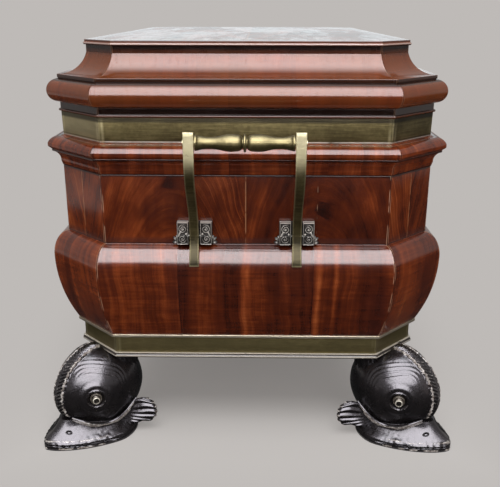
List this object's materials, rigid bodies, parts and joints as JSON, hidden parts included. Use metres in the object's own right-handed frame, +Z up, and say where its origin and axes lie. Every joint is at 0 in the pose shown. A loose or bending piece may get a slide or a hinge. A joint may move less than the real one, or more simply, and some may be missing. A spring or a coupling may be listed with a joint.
{
  "type": "cellarette",
  "caption": "Octagonal mahogany cellarette with a hinged moulded lid, brass bands, swinging end handles, a lined interior with bottle divisions, and carved dolphin-head feet.",
  "frame": {"origin": "on the floor under the middle of the case", "axes": "+Z up, +Y along the length towards the left-hand end, +X towards the hinge side; the lock side faces -X"},
  "size_m": [0.6172, 0.9736, 0.584],
  "materials": {
    "mahogany_flame": "french-polished crotch mahogany veneer",
    "mahogany_belly": "french-polished cross-grained mahogany",
    "mahogany_moulding": "french-polished mahogany",
    "carcass_wood": "plain sawn deal, unpolished",
    "black_moulding": "ebonised, polished",
    "aged_brass": "aged unlacquered brass, satin",
    "brass_line": "thin brass stringing, worn bright",
    "brass_hardware": "satin brass",
    "bracket_metal": "cast brass, silvered and darkened",
    "steel_hardware": "oiled steel",
    "zinc": "dull zinc sheet",
    "baize": "woven wool baize",
    "ebonised_carving": "carved, ebonised and waxed, worn on the ridges",
    "worn_gilt": "turned, gilt over black, rubbed"
  },
  "bodies": {
    "root": {"base_frame": "carcass_wood", "base_moulding": "black_moulding", "bottom_board": "carcass_wood", "carcass_long_boards": "carcass_wood", "carcass_end_boards": "carcass_wood", "carcass_corner_boards": "carcass_wood", "lower_brass_band": "aged_brass", "belly_fillet": "brass_line", "belly_moulding": "mahogany_belly", "frieze_panels": "mahogany_flame", "cornice_cove": "mahogany_moulding", "cornice_ovolo": "mahogany_moulding", "upper_band_core": "carcass_wood", "upper_brass_band": "aged_brass", "foot_dowels": "carcass_wood", "base_screws": "steel_hardware", "body_hinge_screws": "steel_hardware", "right_handle_bolts": "steel_hardware", "left_handle_bolts": "steel_hardware", "liner_floor": "zinc", "liner_walls": "zinc", "liner_capping": "mahogany_moulding", "divider_long_slats": "mahogany_moulding", "divider_cross_slats": "mahogany_moulding", "body_hinge_leaves": "brass_hardware", "hinge_pins": "brass_hardware", "lock_case": "steel_hardware", "escutcheon": "brass_hardware", "right_handle_pins": "steel_hardware", "left_handle_pins": "steel_hardware", "right_bracket_front": "bracket_metal", "left_bracket_back": "bracket_metal", "right_bracket_back": "bracket_metal", "left_bracket_front": "bracket_metal", "foot_right_front": "ebonised_carving", "eyes_right_front": "worn_gilt", "foot_right_back": "ebonised_carving", "eyes_right_back": "worn_gilt", "foot_left_front": "ebonised_carving", "eyes_left_front": "worn_gilt", "foot_left_back": "ebonised_carving", "eyes_left_back": "worn_gilt"},
    "lid": {"lid_top_board": "mahogany_flame", "lid_edge_moulding": "mahogany_moulding", "lid_cove_moulding": "mahogany_moulding", "lid_fillet": "mahogany_moulding", "lid_torus_moulding": "mahogany_moulding", "lid_apron": "mahogany_moulding", "lid_rails": "carcass_wood", "lid_lining_panel": "baize", "lid_hinge_screws": "steel_hardware", "lid_hinge_leaves": "brass_hardware", "lock_link_plate": "brass_hardware"},
    "right_handle": {"right_handle_grip": "aged_brass", "right_handle_arms": "aged_brass"},
    "left_handle": {"left_handle_grip": "aged_brass", "left_handle_arms": "aged_brass"},
    "lock_bolt": {"lock_bolt": "steel_hardware"}
  },
  "joints": [
    {"name": "lid_hinge", "type": "hinge", "parent": "root", "child": "lid", "pos_m": [0.271, 0, 0.487], "axis": [0, 1, 0], "range_deg": [0, 95]},
    {"name": "right_handle_swing", "type": "hinge", "parent": "root", "child": "right_handle", "pos_m": [0, -0.4231, 0.326], "axis": [-1, 0, 0], "range_deg": [0, 19.5]},
    {"name": "left_handle_swing", "type": "hinge", "parent": "root", "child": "left_handle", "pos_m": [0, 0.4231, 0.326], "axis": [1, 0, 0], "range_deg": [0, 19.5]},
    {"name": "lock_bolt_slide", "type": "slide", "parent": "root", "child": "lock_bolt", "axis": [0, 1, 0], "range_m": [0, 0.007]}
  ]
}
